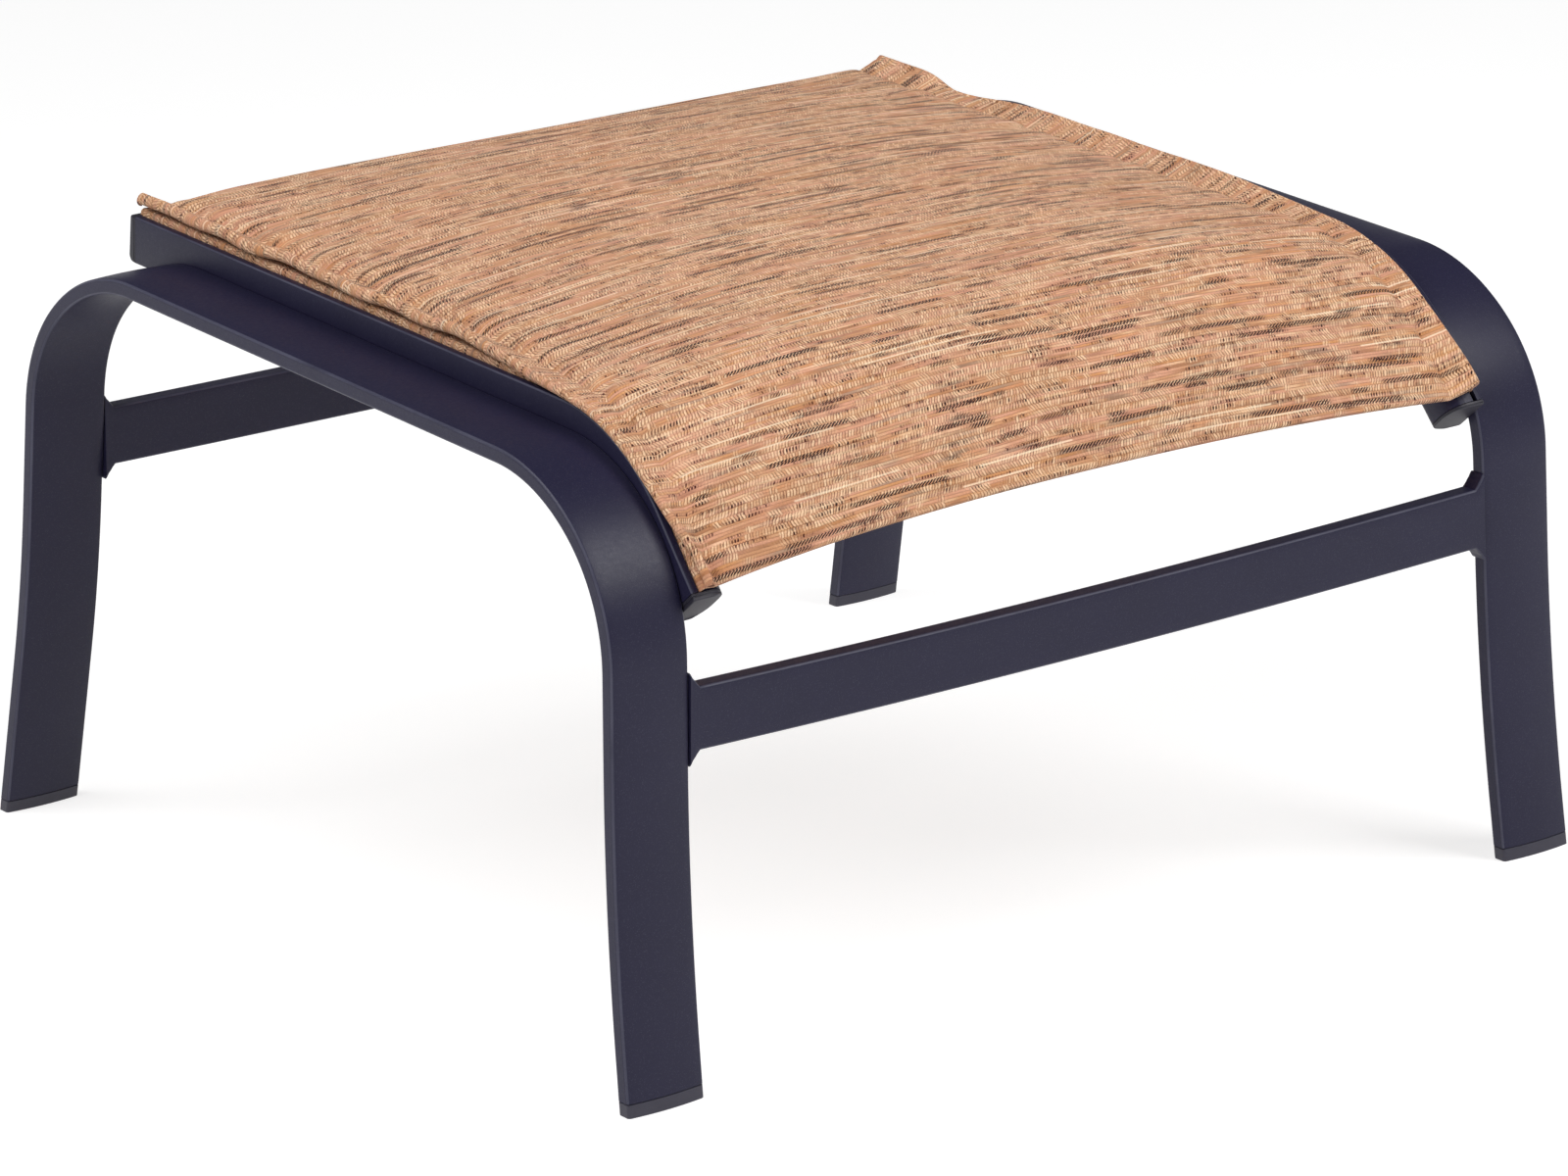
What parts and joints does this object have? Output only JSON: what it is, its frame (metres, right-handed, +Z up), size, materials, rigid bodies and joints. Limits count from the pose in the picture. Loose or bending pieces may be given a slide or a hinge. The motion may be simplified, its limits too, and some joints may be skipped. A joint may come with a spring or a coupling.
{
  "type": "outdoor ottoman footstool",
  "caption": "Low patio footstool with two bent flat-tube side frames, welded cross stretchers and a padded sling seat held in slotted rails that curve down at the front.",
  "frame": {"origin": "on the floor, below the centre of the overall box: midway between the outermost points of the front and rear feet and of the left and right side frames", "axes": "+X across the footstool to its right side, -Y towards the front where the sling curves down, +Y to the rear, +Z up"},
  "size_m": [0.6766, 0.6551, 0.3897],
  "materials": {
    "powder_coat": "satin powder coat with a fine sparkle over bent flat tube",
    "black_plastic": "moulded black polyethylene",
    "spline": "extruded round rod",
    "bolt_steel": "plain stainless button head",
    "woven_cover": "looped outdoor weave, tan with dark brown and cream streaks",
    "foam": "quick-dry foam sheet",
    "sling_mesh": "coated mesh sling"
  },
  "bodies": {
    "root": {"left_side_frame": "powder_coat", "right_side_frame": "powder_coat", "front_stretcher": "powder_coat", "rear_stretcher": "powder_coat", "left_sling_rail": "powder_coat", "right_sling_rail": "powder_coat", "left_front_foot_insert": "black_plastic", "left_rear_foot_insert": "black_plastic", "right_front_foot_insert": "black_plastic", "right_rear_foot_insert": "black_plastic", "left_front_rail_cap": "black_plastic", "left_rear_rail_cap": "black_plastic", "right_front_rail_cap": "black_plastic", "right_rear_rail_cap": "black_plastic", "left_spline_rod": "spline", "right_spline_rod": "spline", "left_rear_rail_bolt": "bolt_steel", "left_middle_rail_bolt": "bolt_steel", "left_front_rail_bolt": "bolt_steel", "right_rear_rail_bolt": "bolt_steel", "right_middle_rail_bolt": "bolt_steel", "right_front_rail_bolt": "bolt_steel", "sling_top_cover": "woven_cover", "sling_foam_core": "foam", "sling_under_panel": "sling_mesh"}
  },
  "joints": []
}
